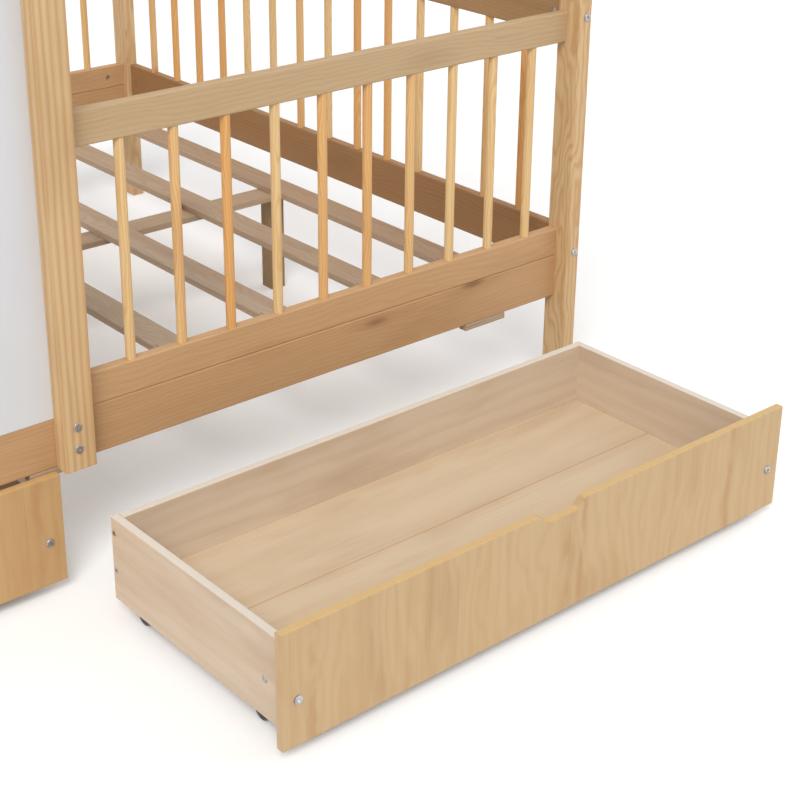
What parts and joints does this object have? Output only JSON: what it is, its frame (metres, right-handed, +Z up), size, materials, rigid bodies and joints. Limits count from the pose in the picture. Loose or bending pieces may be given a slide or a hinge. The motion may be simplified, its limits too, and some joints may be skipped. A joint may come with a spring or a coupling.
{
  "type": "house bed with drawers",
  "caption": "Wooden house bed with a spindle fence, gable roof frame, writing board and rolling under-bed drawers.",
  "frame": {"origin": "on the floor under the middle of the lying area", "axes": "+X to the right along the bed, +Y towards the back fence, +Z up; the drawers pull out towards -Y"},
  "size_m": [2.0304, 1.9669, 1.99],
  "materials": {
    "pine": "satin",
    "pine_pale": "matt",
    "pine_front": "satin",
    "ply_box": "matt",
    "white_board": "gloss",
    "steel": "satin",
    "caster_grey": "matt"
  },
  "bodies": {
    "bed_frame": {"corner_post_front_right": "pine", "corner_post_front_left": "pine", "corner_post_back_right": "pine", "corner_post_back_left": "pine", "mid_post_right": "pine", "mid_post_left": "pine", "side_rail_front": "pine", "side_rail_back": "pine", "fence_bottom_rail_front": "pine", "fence_bottom_rail_back": "pine", "fence_top_rail_front": "pine", "fence_top_rail_back": "pine", "end_board_right": "pine", "end_board_left": "pine", "end_top_rail_right": "pine", "end_top_rail_left": "pine", "spindles_front": "pine", "spindles_back": "pine", "spindles_right": "pine", "spindles_left": "pine", "slat_ledgers": "pine_pale", "centre_beam": "pine_pale", "centre_legs": "pine_pale", "slats": "pine_pale", "drawer_stops": "pine_pale", "writing_board": "white_board", "writing_board_top_rail": "pine", "eaves_beams": "pine", "gable_ties": "pine", "rafter_front_right": "pine", "rafter_back_right": "pine", "rafter_front_left": "pine", "rafter_back_left": "pine", "ridge_beam": "pine", "frame_bolts": "steel", "frame_barrel_nuts": "steel", "frame_screws": "steel", "frame_dowels": "pine_pale"},
    "drawer_right": {"drawer_right_front": "pine_front", "drawer_right_sides": "ply_box", "drawer_right_back": "ply_box", "drawer_right_floor": "ply_box", "drawer_right_caster_battens": "pine_pale", "drawer_right_caster_forks": "steel", "drawer_right_fasteners": "steel"},
    "drawer_right_wheel_front_left_body": {"drawer_right_wheel_front_left": "caster_grey"},
    "drawer_right_wheel_front_right_body": {"drawer_right_wheel_front_right": "caster_grey"},
    "drawer_right_wheel_back_left_body": {"drawer_right_wheel_back_left": "caster_grey"},
    "drawer_right_wheel_back_right_body": {"drawer_right_wheel_back_right": "caster_grey"},
    "drawer_left": {"drawer_left_front": "pine_front", "drawer_left_sides": "ply_box", "drawer_left_back": "ply_box", "drawer_left_floor": "ply_box", "drawer_left_caster_battens": "pine_pale", "drawer_left_caster_forks": "steel", "drawer_left_fasteners": "steel"},
    "drawer_left_wheel_front_left_body": {"drawer_left_wheel_front_left": "caster_grey"},
    "drawer_left_wheel_front_right_body": {"drawer_left_wheel_front_right": "caster_grey"},
    "drawer_left_wheel_back_left_body": {"drawer_left_wheel_back_left": "caster_grey"},
    "drawer_left_wheel_back_right_body": {"drawer_left_wheel_back_right": "caster_grey"}
  },
  "joints": [
    {"name": "drawer_right_slide", "type": "slide", "parent": "bed_frame", "child": "drawer_right", "axis": [0, 1, 0], "range_m": [0, 0.511]},
    {"name": "drawer_right_wheel_front_left_spin", "type": "hinge", "parent": "drawer_right", "child": "drawer_right_wheel_front_left_body", "pos_m": [0.0345, -1.1445, 0.015], "axis": [1, 0, 0], "continuous": true},
    {"name": "drawer_right_wheel_front_right_spin", "type": "hinge", "parent": "drawer_right", "child": "drawer_right_wheel_front_right_body", "pos_m": [0.9115, -1.1445, 0.015], "axis": [1, 0, 0], "continuous": true},
    {"name": "drawer_right_wheel_back_left_spin", "type": "hinge", "parent": "drawer_right", "child": "drawer_right_wheel_back_left_body", "pos_m": [0.0345, -0.8695, 0.015], "axis": [1, 0, 0], "continuous": true},
    {"name": "drawer_right_wheel_back_right_spin", "type": "hinge", "parent": "drawer_right", "child": "drawer_right_wheel_back_right_body", "pos_m": [0.9115, -0.8695, 0.015], "axis": [1, 0, 0], "continuous": true},
    {"name": "drawer_left_slide", "type": "slide", "parent": "bed_frame", "child": "drawer_left", "axis": [0, 1, 0], "range_m": [-0.511, 0]},
    {"name": "drawer_left_wheel_front_left_spin", "type": "hinge", "parent": "drawer_left", "child": "drawer_left_wheel_front_left_body", "pos_m": [-0.9225, -0.6335, 0.015], "axis": [1, 0, 0], "continuous": true},
    {"name": "drawer_left_wheel_front_right_spin", "type": "hinge", "parent": "drawer_left", "child": "drawer_left_wheel_front_right_body", "pos_m": [-0.0455, -0.6335, 0.015], "axis": [1, 0, 0], "continuous": true},
    {"name": "drawer_left_wheel_back_left_spin", "type": "hinge", "parent": "drawer_left", "child": "drawer_left_wheel_back_left_body", "pos_m": [-0.9225, -0.3585, 0.015], "axis": [1, 0, 0], "continuous": true},
    {"name": "drawer_left_wheel_back_right_spin", "type": "hinge", "parent": "drawer_left", "child": "drawer_left_wheel_back_right_body", "pos_m": [-0.0455, -0.3585, 0.015], "axis": [1, 0, 0], "continuous": true}
  ]
}
